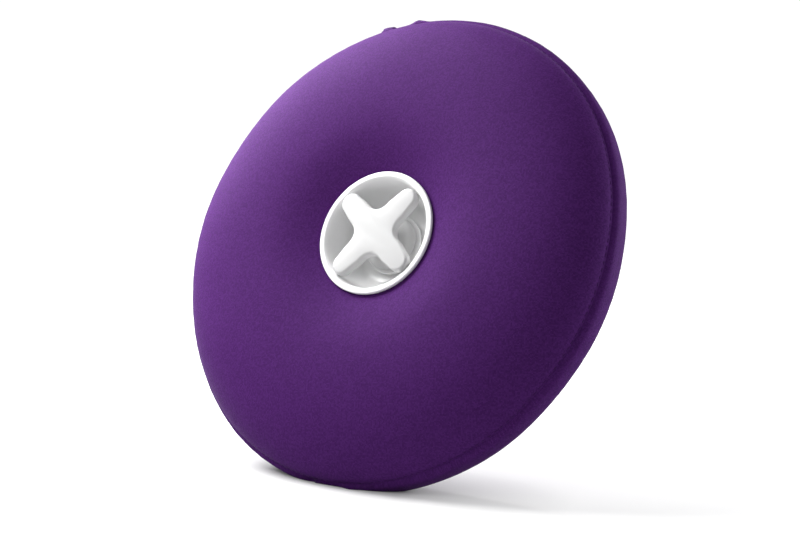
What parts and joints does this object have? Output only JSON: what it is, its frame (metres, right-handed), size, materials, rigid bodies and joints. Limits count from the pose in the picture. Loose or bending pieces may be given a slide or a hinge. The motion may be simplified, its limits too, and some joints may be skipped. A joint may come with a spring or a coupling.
{
  "type": "liquid-filled warming cushion",
  "caption": "Round liquid-filled cushion in a knitted cover, with a white filler funnel in the middle of its front closed by a four-armed screw stopper.",
  "frame": {"origin": "centre of the flat back, which is the bottom centre of the bounding box", "axes": "+Z is the cushion's own axis, out of its front face; the stopper's arms lie on the diagonals of X and Y; the opening in the back of the cover runs along Y"},
  "size_m": [0.3002, 0.3002, 0.0498],
  "materials": {
    "knit": "fine smooth stretch knit, purple, faint soft sheen",
    "binding_tape": "narrow elastic binding tape, dark purple",
    "bladder_film": "soft smooth moulded sheet, grey-violet, semi-matt",
    "funnel_plastic": "glossy white moulding",
    "stopper_plastic": "satin white moulding",
    "inner_plastic": "satin white moulding, unseen",
    "seal_rubber": "matt grey seal rubber"
  },
  "bodies": {
    "root": {"cover_front_panel": "knit", "filler_hole_binding": "binding_tape", "cover_back_outer_flap": "knit", "cover_back_inner_flap": "knit", "outer_flap_binding": "binding_tape", "inner_flap_binding": "binding_tape", "bladder_front_shell": "bladder_film", "bladder_back_shell": "bladder_film", "bladder_mouth_ring": "inner_plastic", "filler_funnel": "funnel_plastic", "neck_gasket": "seal_rubber", "neck_socket": "funnel_plastic", "neck_ring_nut": "inner_plastic"},
    "seal": {"stopper_washer": "seal_rubber"},
    "stopper": {"stopper_plug": "stopper_plastic", "stopper_grip": "stopper_plastic"}
  },
  "joints": [
    {"name": "stopper_lift", "type": "slide", "parent": "root", "child": "seal", "axis": [0, 0, 1], "range_m": [0, 0.042]},
    {"name": "stopper_turn", "type": "hinge", "parent": "seal", "child": "stopper", "pos_m": [0, 0, 0.021], "axis": [0, 0, 1], "range_deg": [0, 3024]}
  ],
  "couplings": [
    {"joint": "stopper_lift", "follows": "stopper_turn", "m_per_rad": 0.00079577}
  ]
}
